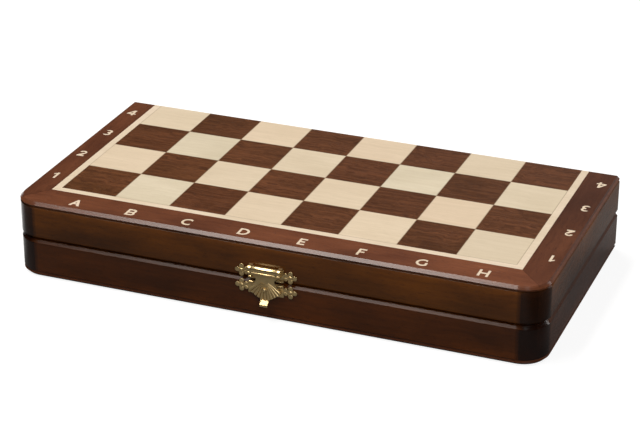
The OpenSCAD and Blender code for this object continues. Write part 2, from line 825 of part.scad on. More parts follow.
// One leaf of a hinge: the listed thirds of the barrel are its own, the others are cut clear
module hinge_leaf(own, pin_fit) {
    step = knuckle_l + knuckle_gap;
    difference() {
        union() {
            translate([-hinge_l / 2, case_d / 2 - leaf_w, half_h - leaf_t])
                cube([hinge_l, leaf_w + fold_gap / 2, leaf_t]);
            for (third = own) translate([third * step - hinge_l / 2, hinge_y, seam_z])
                rotate([0, 90, 0]) cylinder(r = knuckle_r, h = knuckle_l);
        }
        for (third = [0 : 2]) if (len(search(third, own)) == 0)
            translate([third * step - hinge_l / 2 - knuckle_gap, hinge_y, seam_z]) rotate([0, 90, 0])
                cylinder(r = knuckle_r + knuckle_gap, h = knuckle_l + 2 * knuckle_gap);
        translate([-hinge_l / 2 - over, hinge_y, seam_z]) rotate([0, 90, 0])
            cylinder(r = hinge_pin_r + pin_fit, h = hinge_l + 2 * over);
        at_screws() screw_body(fastener_fit);
    }
}

// Countersunk screw, or with a fit the hole for it in a leaf
module screw_body(fit) {
    translate([0, 0, -screw_l]) cylinder(r = screw_r + fit, h = screw_l);
    translate([0, 0, -leaf_t]) cylinder(r1 = screw_r + fit, r2 = screw_head_r + fit, h = leaf_t);
}

module hinge_screws() {
    for (side = [-1, 1]) translate([side * hinge_x, 0, 0]) at_screws() difference() {
        screw_body(0);
        for (turn = [0, 90]) rotate([0, 0, turn])
            translate([-screw_head_r * 0.6, -0.2, -0.5]) cube([screw_head_r * 1.2, 0.4, over]);
    }
}

module hinge_pin() {
    translate([-hinge_l / 2, hinge_y, seam_z]) rotate([0, 90, 0]) cylinder(r = hinge_pin_r, h = hinge_l);
}

// Mirrors a piece of a hinge from the lower rim to the upper rim
module on_upper_rim() {
    translate([0, 0, case_h]) mirror([0, 0, 1]) children();
}

// Outline of a clasp plate from its lower edge up, with a finial of three lobes at each end
module plate_plan() {
    middle = plate_h / 2;
    translate([-plate_half_w, 0]) square([2 * plate_half_w, plate_h]);
    translate([-finial_x, middle - finial_r]) square([2 * finial_x, 2 * finial_r]);
    for (side = [-1, 1]) translate([side * finial_x, middle]) {
        for (s = [-1, 1]) {
            translate([0, s * 1.9 * finial_r]) circle(finial_r);
            translate([-side * 2.3 * finial_r, s * finial_r]) circle(0.9 * finial_r);
        }
        circle(1.7 * finial_r);
        polygon([
            [0, -1.3 * finial_r], [0, 1.3 * finial_r], [side * 2 * finial_r, 0.8 * finial_r],
            [side * 3 * finial_r, 0], [side * 2 * finial_r, -0.8 * finial_r]
        ]);
    }
}

// Stands a plan up on the front face, from a distance out over a thickness
module on_front(out, t) {
    translate([0, front_y - out, 0]) rotate([90, 0, 0]) linear_extrude(t) children();
}

module clasp_nail_places(plate_z) {
    for (side = [-1, 1])
        translate([side * finial_x, front_y, plate_z + plate_h / 2]) rotate([90, 0, 0]) children();
}

module nail_hole() {
    translate([0, 0, -nail_l - fastener_fit])
        cylinder(r = nail_r + fastener_fit, h = nail_l + fastener_fit + clasp_t + over);
}

module nail() {
    translate([0, 0, -nail_l]) cylinder(r = nail_r, h = nail_l + clasp_t);
    translate([0, 0, clasp_t]) intersection() {
        translate([0, 0, 0.55 * nail_head_r - nail_head_r]) sphere(nail_head_r * 1.1);
        cylinder(r = 2 * nail_head_r, h = nail_head_r);
    }
}

module clasp_upper_plate() {
    ear_l = ears_half_l - barrel_half_l - knuckle_gap;
    color("darkgoldenrod") difference() {
        union() {
            translate([0, 0, upper_plate_z]) on_front(0, clasp_t) plate_plan();
            for (side = [-1, 1])
                translate([side * (ears_half_l - ear_l / 2), front_y - barrel_out, barrel_z]) {
                    rotate([0, 90, 0]) cylinder(r = barrel_r, h = ear_l, center = true);
                    translate([-ear_l / 2, 0, -barrel_r]) cube([ear_l, barrel_out, 2 * barrel_r]);
                }
        }
        // Window behind the hasp's barrel
        translate([
            -barrel_half_l - knuckle_gap, front_y - clasp_t - over,
            barrel_z - barrel_r - knuckle_clearance
        ]) cube([2 * (barrel_half_l + knuckle_gap), clasp_t + 2 * over, 3 * barrel_r]);
        clasp_bore(pin_seat);
        clasp_nail_places(upper_plate_z) nail_hole();
    }
}

module clasp_bore(fit) {
    translate([-ears_half_l - over, front_y - barrel_out, barrel_z]) rotate([0, 90, 0])
        cylinder(r = clasp_pin_r + fit, h = 2 * (ears_half_l + over));
}

module clasp_pin() {
    color("goldenrod") translate([-ears_half_l, front_y - barrel_out, barrel_z])
        rotate([0, 90, 0]) cylinder(r = clasp_pin_r, h = 2 * ears_half_l);
}

module clasp_lower_plate() {
    color("darkgoldenrod") difference() {
        union() {
            translate([0, 0, lower_plate_z]) on_front(0, clasp_t) plate_plan();
            translate([0, front_y, lower_plate_z + plate_h / 2]) rotate([90, 0, 0])
                cylinder(r = 1.2, h = clasp_t + catch_h);
        }
        clasp_nail_places(lower_plate_z) nail_hole();
    }
}

// Outline of the hasp from the barrel down: shoulders, waist, shell and its foot
module hasp_plan() {
    shell_z = hasp_drop - 3.8;
    polygon([
        [-barrel_half_l, barrel_rise], [barrel_half_l, barrel_rise], [barrel_half_l, 3.2],
        [waist_half_w, 1.6], [waist_half_w, 0.4], [0.8 * shell_half_w, -2.2],
        [shell_half_w, -shell_z + 0.8], [0.97 * shell_half_w, -shell_z],
        [0.76 * shell_half_w, -shell_z - 1.1],
        [tab_half_w, -hasp_drop], [-tab_half_w, -hasp_drop], [-0.76 * shell_half_w, -shell_z - 1.1],
        [-0.97 * shell_half_w, -shell_z], [-shell_half_w, -shell_z + 0.8], [-0.8 * shell_half_w, -2.2],
        [-waist_half_w, 0.4], [-waist_half_w, 1.6], [-barrel_half_l, 3.2]
    ]);
}

module clasp_hasp() {
    rib_from = 2.2;
    rib_count = 11;
    rib_spread = 104;
    rib_hub = 1.4;
    // Degrees by which the ribs sink into the sheet towards the foot, or else they would stand out too far
    rib_sink = 1.5;
    slope_l = tab_l + clasp_t;
    color("goldenrod") difference() {
        union() {
            translate([0, 0, seam_z]) {
                on_front(hasp_back, clasp_t) hasp_plan();
                // Ribs of the shell, fanned out from a point at the waist and widening towards the foot
                intersection() {
                    on_front(hasp_back, clasp_t + over) hasp_plan();
                    translate([0, front_y - hasp_back - clasp_t, rib_hub])
                        for (i = [0 : rib_count - 1])
                            rotate([rib_sink, (i / (rib_count - 1) - 0.5) * rib_spread, 0])
                                translate([0, 0, -2 * hasp_drop])
                                    cylinder(
                                        r1 = 2 * rib_r, r2 = rib_from / hasp_drop * rib_r,
                                        h = 2 * hasp_drop - rib_from
                                    );
                }
                // Boss in front of the catch
                translate([0, front_y - hasp_back, -lower_plate_drop - plate_h / 2])
                    rotate([90, 0, 0]) cylinder(r = 1, h = clasp_t + 0.9);
                // Finger tab, turned out from the foot of the shell, and its lip, turned down again
                translate([-tab_half_w, front_y - hasp_back, clasp_t - hasp_drop])
                    rotate([180 + tab_slope, 0, 0])
                        cube([2 * tab_half_w, slope_l, clasp_t]);
                translate([
                    -tab_half_w, front_y - hasp_back - slope_l * cos(tab_slope),
                    clasp_t - hasp_drop - slope_l * sin(tab_slope) - lip_h
                ]) cube([2 * tab_half_w, clasp_t, lip_h]);
            }
            translate([0, front_y - barrel_out, barrel_z]) rotate([0, 90, 0])
                cylinder(r = barrel_r, h = 2 * barrel_half_l, center = true);
        }
        clasp_bore(pin_play);
    }
}

// Letters in the order in which they are read along each front, and numbers from the front back
upper_letters = "ABCDEFGH";
lower_letters = "HGFEDCBA";
upper_numbers = "1234";
lower_numbers = "8765";

module lower_front_rail() {
    color("saddlebrown") difference() {
        front_rail();
        clasp_nail_places(lower_plate_z) nail_hole();
    }
}

module upper_front_rail() {
    color("saddlebrown") difference() {
        in_upper() front_rail();
        clasp_nail_places(upper_plate_z) nail_hole();
    }
}

module lower_left_rail() { color("saddlebrown") mirror([1, 0, 0]) right_rail(); }
module lower_right_rail() { color("saddlebrown") right_rail(); }
module upper_left_rail() { color("saddlebrown") in_upper() right_rail(); }
module upper_right_rail() { color("saddlebrown") in_upper() mirror([1, 0, 0]) right_rail(); }

module lower_back_rail() { color("saddlebrown") back_rail(); }
module upper_back_rail() { color("saddlebrown") in_upper() back_rail(); }
module lower_backing_board() { color("burlywood") backing_board(1); }
module upper_backing_board() { color("burlywood") in_upper() backing_board(-1); }
module lower_steel_sheet() { color("silver") on_field(1) steel_body(0, 0); }
module upper_steel_sheet() { color("silver") in_upper() on_field(-1) steel_body(0, 0); }
module lower_dark_squares() { color("sienna") on_field(1) squares(0); }
module upper_dark_squares() { color("sienna") in_upper() on_field(-1) squares(0); }
module lower_light_squares() { color("wheat") on_field(1) squares(1); }
module upper_light_squares() { color("wheat") in_upper() on_field(-1) squares(1); }
module lower_stringing() { color("wheat") on_field(1) stringing(); }
module upper_stringing() { color("wheat") in_upper() on_field(-1) stringing(); }
module lower_officer_rack() { color("maroon") officer_rack(); }
module upper_officer_rack() { color("maroon") in_upper() officer_rack(); }
module lower_pawn_rack() { color("maroon") pawn_rack(); }
module upper_pawn_rack() { color("maroon") in_upper() pawn_rack(); }
module lower_felt_lining() { color("maroon") felt_lining(); }
module upper_felt_lining() { color("maroon") in_upper() felt_lining(); }

module lower_border_veneer() { color("brown") border_veneer(lower_letters, lower_numbers, 1); }
module upper_border_veneer() { color("brown") in_upper() border_veneer(upper_letters, upper_numbers, -1); }
module lower_coordinates() {
    color("ivory") linear_extrude(glyph_t) coordinate_plan(lower_letters, lower_numbers);
}
module upper_coordinates() {
    color("ivory") in_upper() linear_extrude(glyph_t) coordinate_plan(upper_letters, upper_numbers);
}

// The outer thirds of the barrel belong to the lower leaf, the middle third to the upper leaf
module lower_leaf() { color("darkgoldenrod") hinge_leaf([0, 2], pin_seat); }
module upper_leaf() { color("darkgoldenrod") on_upper_rim() hinge_leaf([1], pin_play); }
module left_hinge_lower_leaf() { translate([-hinge_x, 0, 0]) lower_leaf(); }
module right_hinge_lower_leaf() { translate([hinge_x, 0, 0]) lower_leaf(); }
module left_hinge_upper_leaf() { translate([-hinge_x, 0, 0]) upper_leaf(); }
module right_hinge_upper_leaf() { translate([hinge_x, 0, 0]) upper_leaf(); }
module hinge_pins() { color("goldenrod") for (side = [-1, 1]) translate([side * hinge_x, 0, 0]) hinge_pin(); }
module hinge_lower_screws() { color("goldenrod") hinge_screws(); }
module hinge_upper_screws() { color("goldenrod") on_upper_rim() hinge_screws(); }

module clasp_upper_nails() { color("goldenrod") clasp_nail_places(upper_plate_z) nail(); }
module clasp_lower_nails() { color("goldenrod") clasp_nail_places(lower_plate_z) nail(); }

module white_king() { color("navajowhite") lay_officers("king") king(); }
module black_king() { color("saddlebrown") in_upper() lay_officers("king") king(); }
module white_queen() { color("navajowhite") lay_officers("queen") queen(); }
module black_queen() { color("saddlebrown") in_upper() lay_officers("queen") queen(); }
module white_bishops() { color("navajowhite") lay_officers("bishop") bishop(); }
module black_bishops() { color("saddlebrown") in_upper() lay_officers("bishop") bishop(); }
module white_knights() { color("navajowhite") lay_officers("knight") knight(); }
module black_knights() { color("saddlebrown") in_upper() lay_officers("knight") knight(); }
module white_rooks() { color("navajowhite") lay_officers("rook") rook(); }
module black_rooks() { color("saddlebrown") in_upper() lay_officers("rook") rook(); }
module white_pawns() { color("navajowhite") lay_pawns() pawn(); }
module black_pawns() { color("saddlebrown") in_upper() lay_pawns() pawn(); }
module white_base_felts() { color("darkgreen") all_felts(); }
module black_base_felts() { color("darkgreen") in_upper() all_felts(); }
module white_base_magnets() { color("gray") all_magnets(); }
module black_base_magnets() { color("gray") in_upper() all_magnets(); }

lower_front_rail();
lower_back_rail();
lower_left_rail();
lower_right_rail();
lower_backing_board();
lower_steel_sheet();
lower_dark_squares();
lower_light_squares();
lower_stringing();
lower_border_veneer();
lower_coordinates();
lower_officer_rack();
lower_pawn_rack();
lower_felt_lining();
upper_front_rail();
upper_back_rail();
upper_left_rail();
upper_right_rail();
upper_backing_board();
upper_steel_sheet();
upper_dark_squares();
upper_light_squares();
upper_stringing();
upper_border_veneer();
upper_coordinates();
upper_officer_rack();
upper_pawn_rack();
upper_felt_lining();
left_hinge_lower_leaf();
right_hinge_lower_leaf();
left_hinge_upper_leaf();
right_hinge_upper_leaf();
hinge_pins();
hinge_lower_screws();
hinge_upper_screws();
clasp_upper_plate();
clasp_lower_plate();
clasp_hasp();
clasp_pin();
clasp_upper_nails();
clasp_lower_nails();
white_king();
white_queen();
white_bishops();
white_knights();
white_rooks();
white_pawns();
white_base_felts();
white_base_magnets();
black_king();
black_queen();
black_bishops();
black_knights();
black_rooks();
black_pawns();
black_base_felts();
black_base_magnets();
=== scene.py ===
# %% [markdown]
# # Folding magnetic chess set, shut
#
# The set is a shallow wooden case that folds in the middle of the board. Shut, as in the photo, one half
# of the board is the top and the other half is the underside. The measured parts come in first, as a
# fixed frame. Everything after that is finish and fine detail around them.

import math

import bpy
from mathutils import Matrix, Vector


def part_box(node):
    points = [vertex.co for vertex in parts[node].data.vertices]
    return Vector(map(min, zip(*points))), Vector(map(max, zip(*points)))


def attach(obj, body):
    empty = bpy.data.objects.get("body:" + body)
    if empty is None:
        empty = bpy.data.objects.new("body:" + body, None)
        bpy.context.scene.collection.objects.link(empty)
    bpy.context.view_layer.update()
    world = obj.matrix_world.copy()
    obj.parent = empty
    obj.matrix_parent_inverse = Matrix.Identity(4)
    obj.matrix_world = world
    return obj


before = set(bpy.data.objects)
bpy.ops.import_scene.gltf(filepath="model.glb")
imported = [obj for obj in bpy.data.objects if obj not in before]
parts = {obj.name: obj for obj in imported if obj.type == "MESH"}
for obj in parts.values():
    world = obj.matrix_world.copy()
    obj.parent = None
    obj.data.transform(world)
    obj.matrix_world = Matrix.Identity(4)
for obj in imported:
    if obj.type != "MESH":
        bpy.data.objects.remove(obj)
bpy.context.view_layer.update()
print("measured parts:", len(parts))

# %% [markdown]
# Later cells place things on the case, so the sizes that they share are read from the parts once: the
# height of the case, the line where the two halves meet, and the side of one square. Nothing is typed in
# twice, and a detail can't drift off the piece that carries it. Lengths are in metres, and mm is one
# millimetre.

# %% Read the shared sizes
mm = 0.001
squares_across = 8
case_low, case_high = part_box("upper_backing_board")
case_side = case_high.x
case_front = case_low.y
case_back = case_high.y
case_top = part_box("upper_stringing")[1].z
seam_z = case_top / 2
dark_low, dark_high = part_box("upper_dark_squares")
square = (dark_high.x - dark_low.x) / squares_across
print("case", round(2 * case_side / mm), "x", round((case_back - case_front) / mm, 1), "mm")
print("one square", round(square / mm, 2), "mm")

# %% [markdown]
# The photo was taken with a long lens from the front and a little to the right, looking down by about 25
# degrees. The camera could be placed by eye, but the four corners of the case and of the pale line fix it
# much better: this place and this direction bring all of them to where they are in the photo.

# %% Set up the camera
lens_data = bpy.data.cameras.new("photo_camera")
lens_data.sensor_width = 36
lens_data.lens = 117.93
camera = bpy.data.objects.new("photo_camera", lens_data)
camera.location = (0.3576, -0.9086, 0.4857)
line_of_sight = Vector((-0.33044, 0.84105, -0.42830))
camera.rotation_euler = line_of_sight.to_track_quat("-Z", "Y").to_euler()
bpy.context.scene.collection.objects.link(camera)
bpy.context.scene.camera = camera
bpy.context.scene.view_settings.view_transform = "Standard"
print("camera at", tuple(round(x, 3) for x in camera.location))

# %% [markdown]
# A finish is a tree of nodes, and trees are long to write one socket at a time. The first helper fills a
# socket: it links what comes from another node and sets what is a plain value. The second one adds a node
# of any kind, sets its properties and fills its inputs, all in one line.

# %% Add a node
def fill(tree, socket, value):
    if isinstance(value, bpy.types.NodeSocket):
        tree.links.new(value, socket)
    else:
        socket.default_value = value


def put(tree, kind, inputs=None, **settings):
    node = tree.nodes.new("ShaderNode" + kind)
    for name, value in settings.items():
        setattr(node, name, value)
    for name, value in (inputs or {}).items():
        fill(tree, node.inputs[name], value)
    return node


print("nodes can be added")

# %% [markdown]
# A few kinds of node come back all the time, so each gets a helper with a short name. They do a sum with
# numbers or with vectors, spread one range of values over another, mix two colours, multiply one colour by
# another, and make a grey. The Mix node has sockets for numbers, vectors and colours side by side, and its
# colours go in at 6 and 7 and come out at 2. Colours are written as a paint program shows them, from 0 to
# 255, and the last helper makes them linear by the sRGB formula, as Blender wants them.

# %% Helpers for sums and colours
def maths(tree, operation, first, second=0.0, kind="Math"):
    node = put(tree, kind, operation=operation)
    fill(tree, node.inputs[0], first)
    fill(tree, node.inputs[1], second)
    return node.outputs[0]


def vector_maths(tree, operation, first, second=(0, 0, 0)):
    return maths(tree, operation, first, second, "VectorMath")


def spread(tree, value, low, high, new_low=0.0, new_high=1.0):
    node = put(tree, "MapRange", {"Value": value, "From Min": low, "From Max": high,
                                  "To Min": new_low, "To Max": new_high})
    return node.outputs[0]


def mix(tree, amount, first, second, blend="MIX"):
    node = put(tree, "Mix", data_type="RGBA", blend_type=blend, clamp_factor=True)
    for index, value in ((0, amount), (6, first), (7, second)):
        fill(tree, node.inputs[index], value)
    return node.outputs[2]


def times(tree, first, second):
    return mix(tree, 1.0, first, second, "MULTIPLY")


def grey(tree, value):
    return put(tree, "CombineColor", {"Red": value, "Green": value, "Blue": value}).outputs[0]


def colour(red, green, blue):
    return tuple(((c / 255 + 0.055) / 1.055) ** 2.4 if c > 10 else c / 255 / 12.92
                 for c in (red, green, blue)) + (1.0,)


print("a middle grey is", round(colour(128, 128, 128)[0], 3), "in linear light")

# %% [markdown]
# A paint or lacquer starts from Blender's Principled shader. Numbers that are the same all over go
# straight on its sockets. Only what changes over the surface is linked.

# %% A new material
def finish(name, **sockets):
    material = bpy.data.materials.new(name)
    material.use_nodes = True
    tree = material.node_tree
    shader = tree.nodes["Principled BSDF"]
    for socket, value in sockets.items():
        shader.inputs[socket.replace("_", " ")].default_value = value
    return material, tree, shader


print("materials can be made")

# %% [markdown]
# ## Studio
#
# The photo's background is plain white, and the camera sees the floor and the world white. Mirrors and
# glass see them white too, as far as they look at the backdrop behind the case or on its left. In front
# the studio is a dim grey room, as the quiet brass and the deep colour of the front in the photo show, and
# a mirrored ray that goes there finds it dark. This helper tells the rays apart. Its first answer is 1 for
# the camera and the backdrop's share for mirrored and refracted rays, and its second one is 1 for mirrored
# and refracted rays alone.

# %% Tell the rays apart
def shown(tree, backdrop):
    rays = put(tree, "LightPath").outputs
    mirrored = maths(tree, "MAXIMUM", rays["Is Glossy Ray"], rays["Is Transmission Ray"])
    backdrop_seen = maths(tree, "MULTIPLY", mirrored, backdrop)
    return maths(tree, "MAXIMUM", rays["Is Camera Ray"], backdrop_seen), mirrored


print("white for the camera, and for mirrors where the backdrop is")

# %% [markdown]
# The floor is a large sheet of white paper. It glows a little less than white and the lamps add the rest,
# so the case leaves its soft shadow on it. Some metres away it glows fully white, and no view from low
# down shows a horizon.

# %% Floor as the camera sees it
bpy.ops.object.select_all(action="DESELECT")
bpy.ops.mesh.primitive_plane_add(size=9, location=(0, 0, -0.4 * mm))
floor = bpy.context.object
floor.name = "floor"
paper = bpy.data.materials.new("white_paper")
paper.use_nodes = True
tree = paper.node_tree
tree.nodes.remove(tree.nodes["Principled BSDF"])
on_paper = put(tree, "TexCoord").outputs["Object"]
from_case = put(tree, "VectorMath", {"Vector": on_paper}, operation="LENGTH").outputs["Value"]
glow_strength = spread(tree, from_case, 1.0, 3.0, 0.86, 1.0)
glow = put(tree, "Emission", {"Color": (1, 1, 1, 1), "Strength": glow_strength})
lit_paper = put(tree, "BsdfDiffuse", {"Color": (0.26, 0.26, 0.26, 1)})
seen = put(tree, "AddShader")
tree.links.new(lit_paper.outputs[0], seen.inputs[0])
tree.links.new(glow.outputs[0], seen.inputs[1])
print("paper laid")

# %% [markdown]
# Mirrors see the paper white far behind the case and on its left, and a trace of it from the middle of the
# case to the back. Elsewhere they see it dim, and to the right almost black, as if a dark cloth lay there:
# that keeps the case's right side as deep as in the photo. As a light on the object, the paper is no more
# than a middle grey.

# %% Floor as mirrors see it
place = put(tree, "SeparateXYZ", {"Vector": on_paper}).outputs
close_behind = spread(tree, place["Y"], -0.1, 0, 0, 0.055)
far_behind = spread(tree, place["Y"], 0.3, 0.9)
past_left_side = spread(tree, place["X"], -case_side, -case_side - 20 * mm)
behind_front = spread(tree, place["Y"], case_front, case_front + 60 * mm)
left_backdrop = maths(tree, "MULTIPLY", past_left_side, behind_front)
back_backdrop = maths(tree, "MAXIMUM", close_behind, far_behind)
white_share, mirrored = shown(tree, maths(tree, "MAXIMUM", back_backdrop, left_backdrop))
dark_cloth = grey(tree, spread(tree, place["X"], case_side + 10 * mm, case_side + 40 * mm, 0.13, 0.03))
dimmed = put(tree, "BsdfDiffuse", {"Color": mix(tree, mirrored, (0.16, 0.16, 0.16, 1), dark_cloth)})
chosen = put(tree, "MixShader", {"Fac": white_share})
tree.links.new(dimmed.outputs[0], chosen.inputs[1])
tree.links.new(seen.outputs[0], chosen.inputs[2])
tree.links.new(chosen.outputs[0], tree.nodes["Material Output"].inputs["Surface"])
floor.data.materials.append(paper)
print("floor finished")

# %% [markdown]
# The world is the white studio around the paper. Mirrors see it white only straight behind the case. As a
# light it is no more than the weak fill of the room's walls.

# %% World
world = bpy.data.worlds.new("studio")
bpy.context.scene.world = world
world.use_nodes = True
tree = world.node_tree
sky = tree.nodes["Background"]
sky.inputs["Color"].default_value = (1, 1, 1, 1)
heading = put(tree, "SeparateXYZ", {"Vector": put(tree, "TexCoord").outputs["Generated"]}).outputs["Y"]
white_share, mirrored = shown(tree, spread(tree, heading, 0.85, 1))
walls = spread(tree, mirrored, 0, 1, 0.09, 0.03)
tree.links.new(spread(tree, white_share, 0, 1, walls, 1), sky.inputs["Strength"])
print("world set")

# %% [markdown]
# The bright line along the front edge of the board shows where the main lamp hangs: above and a little to
# the left, because the chamfer there mirrors it to the camera. The bright line near the top of the clasp's
# barrel shows that it is long: a soft box that reaches from the front over the case and past it. Its light
# is a trace warm. A weak lamp from the right front draws the ribs of the clasp's shell and leaves the
# middle of the barrel dark. Another weak one, low down on the right and behind, gives the right side its
# little light and leaves the corner before it dark.

# %% Lamps
def soft_box(name, direction, distance, width, length, power, tint=(1, 1, 1)):
    data = bpy.data.lights.new(name, "AREA")
    data.shape = "RECTANGLE"
    data.size = width
    data.size_y = length
    data.energy = power
    data.color = tint
    lamp = bpy.data.objects.new(name, data)
    away = Vector(direction).normalized()
    lamp.location = away * distance + Vector((0, 0, seam_z))
    sideways = Vector((0, 1, 0)).cross(away).normalized()
    lamp.rotation_euler = Matrix((sideways, away.cross(sideways), away)).transposed().to_euler()
    bpy.context.scene.collection.objects.link(lamp)


soft_box("main_soft_box", (-0.355, -0.02, 0.93), 2.4, 0.72, 3.3, power=65, tint=(1, 0.97, 0.92))
soft_box("front_soft_box", (0.45, -0.6, 0.6), 1.5, 0.9, 0.6, power=6.5)
soft_box("side_soft_box", (0.8, 0.58, 0.14), 1.5, 0.8, 0.3, power=6.5)
print("lamps hung")

# %% [markdown]
# ## Wood
#
# All the wood here is cut along its grain: fibres run as long thin lines, the pores are short dark
# dashes, and the tone drifts over a few centimetres. Photos of wood could be used, but a pattern made of
# stretched noise is exact at every scale and never repeats. A group of nodes gives the three patterns
# wherever a wood needs them. Its X axis runs along the grain.

# %% Start a group, and stretch noise
def start_group(name, inputs, outputs):
    group = bpy.data.node_groups.new(name, "ShaderNodeTree")
    for direction, sockets in (("INPUT", inputs), ("OUTPUT", outputs)):
        for label, kind in sockets:
            group.interface.new_socket(name=label, in_out=direction, socket_type="NodeSocket" + kind)
    return group, group.nodes.new("NodeGroupInput").outputs, group.nodes.new("NodeGroupOutput").inputs


def stretched(tree, vector, along, across, detail, roughness=0.5):
    """Noise with so many features a metre along and across the grain, from about 0 to 1."""
    scaled = vector_maths(tree, "MULTIPLY", vector, (along, across, across))
    noise = put(tree, "TexNoise", {"Vector": scaled, "Scale": 1.0, "Detail": detail, "Roughness": roughness})
    return noise.outputs["Fac"]


print("groups can be started")

# %% [markdown]
# The fibres of a real board aren't quite straight. The group first shifts its place a little sideways, by
# slow noise times how far the wood may wander, and the three patterns are read at that bent place.

# %% The grain group
grain, given, out = start_group(
    "wood_grain", [("Vector", "Vector"), ("Wander", "Float")],
    [("Lines", "Float"), ("Pores", "Float"), ("Drift", "Float")])
sway = maths(grain, "SUBTRACT", stretched(grain, given["Vector"], 70, 70, detail=2), 0.5)
sway = maths(grain, "MULTIPLY", sway, given["Wander"])
sideways = put(grain, "CombineXYZ", {"Y": sway, "Z": sway}).outputs[0]
bent = vector_maths(grain, "ADD", given["Vector"], sideways)
lines = stretched(grain, bent, 26, 560, detail=4, roughness=0.6)
dashes = stretched(grain, bent, 260, 3200, detail=1)
drift = stretched(grain, bent, 22, 55, detail=3)
grain.links.new(spread(grain, lines, 0.3, 0.7), out["Lines"])
grain.links.new(spread(grain, dashes, 0.62, 0.7), out["Pores"])
grain.links.new(spread(grain, drift, 0.3, 0.7), out["Drift"])
print("grain group:", len(grain.nodes), "nodes")

# %% [markdown]
# The squares were sawn from many sheets of veneer, so each one has its own tone. One material can do that
# for all of them, with a grid of cells, one a square. The cells are half as high as the case and start
# below it, so the squares of the two halves lie in different ones. The place within a cell shows how near
# the edge is. The glue darkens the last third of a millimetre there, which shows where a pale square meets
# the pale line. Both of its limits are shares of a square.

# %% The cell of each square
tiles, given, out = start_group(
    "square_tones", [("Vector", "Vector")],
    [("Vector", "Vector"), ("Tone", "Float"), ("Warmth", "Float"), ("Joint", "Float")])
grid_corner = (dark_low.x, dark_low.y, -0.3 * seam_z)
from_corner = vector_maths(tiles, "SUBTRACT", given["Vector"], grid_corner)
cell = vector_maths(tiles, "DIVIDE", from_corner, (square, square, seam_z))
whole = vector_maths(tiles, "FLOOR", cell)
within = put(tiles, "SeparateXYZ", {"Vector": vector_maths(tiles, "SUBTRACT", cell, whole)}).outputs
to_edge = []
for axis in ("X", "Y"):
    off_middle = maths(tiles, "ABSOLUTE", maths(tiles, "SUBTRACT", within[axis], 0.5))
    to_edge.append(maths(tiles, "SUBTRACT", 0.5, off_middle))
nearest = maths(tiles, "MINIMUM", to_edge[0], to_edge[1])
glue_starts = 0.014
glue_full = 0.006
tiles.links.new(spread(tiles, nearest, glue_starts, glue_full), out["Joint"])
print("glue starts", round(glue_starts * square / mm, 2), "mm from the edge of a square")

# %% [markdown]
# The number of the cell then draws lots: a tone, a warmth, and how far away in the noise the square takes
# its piece of the grain. The numbers of the deal could be any others, which would give every square
# another look.

# %% The chance of each square
deal = (7.31, 3.17, 1.73)
chance = put(tiles, "TexWhiteNoise", {"Vector": vector_maths(tiles, "ADD", whole, deal)},
             noise_dimensions="3D").outputs
elsewhere = put(tiles, "VectorMath", {"Vector": chance["Color"], "Scale": 3.0}, operation="SCALE")
tiles.links.new(vector_maths(tiles, "ADD", given["Vector"], elsewhere.outputs[0]), out["Vector"])
tiles.links.new(chance["Value"], out["Tone"])
tiles.links.new(put(tiles, "SeparateColor", {"Color": chance["Color"]}).outputs["Green"], out["Warmth"])
print("squares group:", len(tiles.nodes), "nodes")

# %% [markdown]
# The wood under a lacquer is never quite even: it is a little duller here and there, and the pores lie a
# trace deeper. This group puts out that roughness and a normal for any of the woods. The lacquer itself
# fills the pores, so its own surface stays smooth.

# %% The lacquer group
pore_depth = 0.03 * mm
lacquer, given, out = start_group(
    "lacquer", [("Vector", "Vector"), ("Lines", "Float"), ("Pores", "Float"), ("Roughness", "Float")],
    [("Roughness", "Float"), ("Normal", "Vector")])
clouds = stretched(lacquer, given["Vector"], 60, 60, detail=3)
uneven = spread(lacquer, clouds, 0.3, 0.7, 0.85, 1.2)
lacquer.links.new(maths(lacquer, "MULTIPLY", uneven, given["Roughness"]), out["Roughness"])
height = maths(lacquer, "SUBTRACT", maths(lacquer, "MULTIPLY", given["Lines"], 0.5), given["Pores"])
sunk = put(lacquer, "Bump", {"Strength": 1.0, "Distance": pore_depth, "Height": height})
lacquer.links.new(sunk.outputs[0], out["Normal"])
print("lacquer group:", len(lacquer.nodes), "nodes")

# %% [markdown]
# A groove runs around the case between the rails and the board's edge. The group paints shade on the rails
# beside it, so it looks almost black, and it has no shine. The arrises where the halves meet were sanded,
# and the lacquer is thin there. The group also paints light on the rails: the upper rails grow lighter from
# the seam up, most of all just below the groove, a painted highlight of the arris catching the lamp, and
# the lower rails are lighter along the bottom, a painted reflection of the floor. The group finds all three
# from the height. For the painted light it counts the height in shares of the way from the seam to the
# groove, so the grooves of the two halves are at -1 and 1.

# %% The groove group
groove_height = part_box("upper_front_rail")[1].z - seam_z
groove_reach = 0.5 * mm
groove, given, out = start_group(
    "groove_painted_shade_and_light", [("Vector", "Vector"), ("Strength", "Float")],
    [("Painted Shade", "Float"), ("Bare", "Float"), ("Painted Light", "Float")])
upright = put(groove, "SeparateXYZ", {"Vector": given["Vector"]}).outputs["Z"]
above_seam = maths(groove, "SUBTRACT", upright, seam_z)
from_seam = maths(groove, "ABSOLUTE", above_seam)
from_groove = maths(groove, "ABSOLUTE", maths(groove, "SUBTRACT", from_seam, groove_height))
nearness = maths(groove, "SUBTRACT", 1.0, maths(groove, "DIVIDE", from_groove, groove_reach))
# Painted shade: the rails are darkened close to the groove.
painted_shade = maths(groove, "MULTIPLY", spread(groove, nearness, 0.0, 0.4), given["Strength"])
thinned = spread(groove, from_seam, 2.2 * mm, 1.6 * mm, 0, 0.7)
sanded = maths(groove, "MULTIPLY", thinned, given["Strength"])
groove.links.new(painted_shade, out["Painted Shade"])
groove.links.new(maths(groove, "MAXIMUM", painted_shade, sanded), out["Bare"])
# Painted light: the upper rails lighten towards the groove, and the lower ones along the bottom.
share = maths(groove, "DIVIDE", above_seam, groove_height)
below_groove = spread(groove, share, 0.8, 0.97, 1, 1.3)
along_bottom = spread(groove, share, -1, -0.75, 1.25, 1)
from_seam_up = spread(groove, share, 0.05, 1, 0.9, 1.7)
